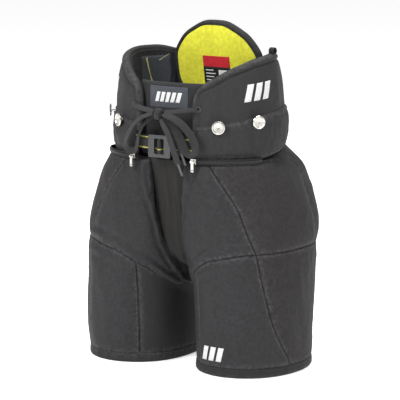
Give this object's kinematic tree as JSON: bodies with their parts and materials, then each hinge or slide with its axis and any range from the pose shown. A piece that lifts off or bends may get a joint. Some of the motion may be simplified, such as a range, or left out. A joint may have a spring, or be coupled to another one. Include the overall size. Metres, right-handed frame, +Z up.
{
  "type": "hockey pants",
  "caption": "Padded ice hockey pants with a laced and belted waist, kidney pads and a raised spine pad, standing on the hems.",
  "frame": {"origin": "on the floor, in the middle of the pants' box, under the crotch", "axes": "+Z up, -Y to the wearer's front, +X to the wearer's left"},
  "size_m": [0.3632, 0.2488, 0.5201],
  "materials": {
    "nylon": "woven nylon, matt",
    "nylon_hem": "woven nylon, matt",
    "foam": "closed-cell foam",
    "guard_plastic": "moulded polyethylene",
    "lining": "knitted mesh",
    "lime_lining": "brushed knit",
    "stretch": "stretch knit",
    "webbing": "woven polyester webbing",
    "lace": "flat braided lace",
    "label": "printed satin label",
    "nickel": "nickel plate",
    "buckle_grey": "satin grey",
    "zip_tape": "coil zip tape"
  },
  "bodies": {
    "pants": {"belt_webbing": "webbing", "button_caps": "nickel", "button_posts": "nickel", "crotch_gusset": "stretch", "front_lace_tail": "lace", "hanging_loop": "webbing", "hip_guards": "guard_plastic", "lace_eyelets": "nickel", "lace_knot": "lace", "lace_tips": "lace", "lace_tongue": "lining", "left_back_panel": "nylon", "left_bow_loop": "lace", "left_hem": "nylon_hem", "left_hip_front_panel": "nylon", "left_hip_pad": "foam", "left_hip_side_panel": "nylon", "left_inner_thigh_pad": "foam", "left_inner_thigh_panel": "nylon", "left_kidney_lining": "lining", "left_kidney_pad": "nylon", "left_lace_run": "lace", "left_leg_lining": "lining", "left_thigh_back_pad": "foam", "left_thigh_front_pad": "foam", "left_thigh_front_panel": "nylon", "left_thigh_side_pad": "foam", "left_thigh_side_panel": "nylon", "rear_lace_tail": "lace", "right_back_panel": "nylon", "right_bow_loop": "lace", "right_hem": "nylon_hem", "right_hip_front_panel": "nylon", "right_hip_pad": "foam", "right_hip_side_panel": "nylon", "right_inner_thigh_pad": "foam", "right_inner_thigh_panel": "nylon", "right_kidney_lining": "lining", "right_kidney_pad": "nylon", "right_lace_run": "lace", "right_leg_lining": "lining", "right_thigh_back_pad": "foam", "right_thigh_front_pad": "foam", "right_thigh_front_panel": "nylon", "right_thigh_side_pad": "foam", "right_thigh_side_panel": "nylon", "tailbone_pad": "foam", "thigh_guards": "guard_plastic", "waist_band": "nylon", "waist_lining": "lining", "zip_tracks": "zip_tape"},
    "spine_board": {"spine_pad": "nylon", "spine_lining": "lime_lining", "care_label": "label"},
    "left_zip_car": {"left_zip_slider": "nickel"},
    "right_zip_car": {"right_zip_slider": "nickel"},
    "left_zip_tab": {"left_zip_pull": "nickel"},
    "right_zip_tab": {"right_zip_pull": "nickel"},
    "buckle": {"buckle_frame": "buckle_grey", "buckle_bar": "buckle_grey"}
  },
  "joints": [
    {"name": "spine_pad_flex", "type": "hinge", "parent": "pants", "child": "spine_board", "pos_m": [0, 0.0636, 0.367], "axis": [1, 0, 0], "range_deg": [-3, 10]},
    {"name": "left_zip_travel", "type": "hinge", "parent": "pants", "child": "left_zip_car", "pos_m": [0.042, 0, 0.3225], "axis": [0, 0, 1], "range_deg": [0, 54]},
    {"name": "left_zip_tab_swing", "type": "hinge", "parent": "left_zip_car", "child": "left_zip_tab", "pos_m": [0.05479, -0.11227, 0.3225], "axis": [0.9936, 0.1132, 0], "range_deg": [-110, 0]},
    {"name": "right_zip_travel", "type": "hinge", "parent": "pants", "child": "right_zip_car", "pos_m": [-0.042, 0, 0.3225], "axis": [0, 0, -1], "range_deg": [0, 54]},
    {"name": "right_zip_tab_swing", "type": "hinge", "parent": "right_zip_car", "child": "right_zip_tab", "pos_m": [-0.05479, -0.11227, 0.3225], "axis": [0.9936, -0.1132, 0], "range_deg": [-110, 0]},
    {"name": "buckle_tilt", "type": "hinge", "parent": "pants", "child": "buckle", "pos_m": [0, -0.1178, 0.3424], "axis": [0, 0, 1], "range_deg": [-9, 9]}
  ]
}
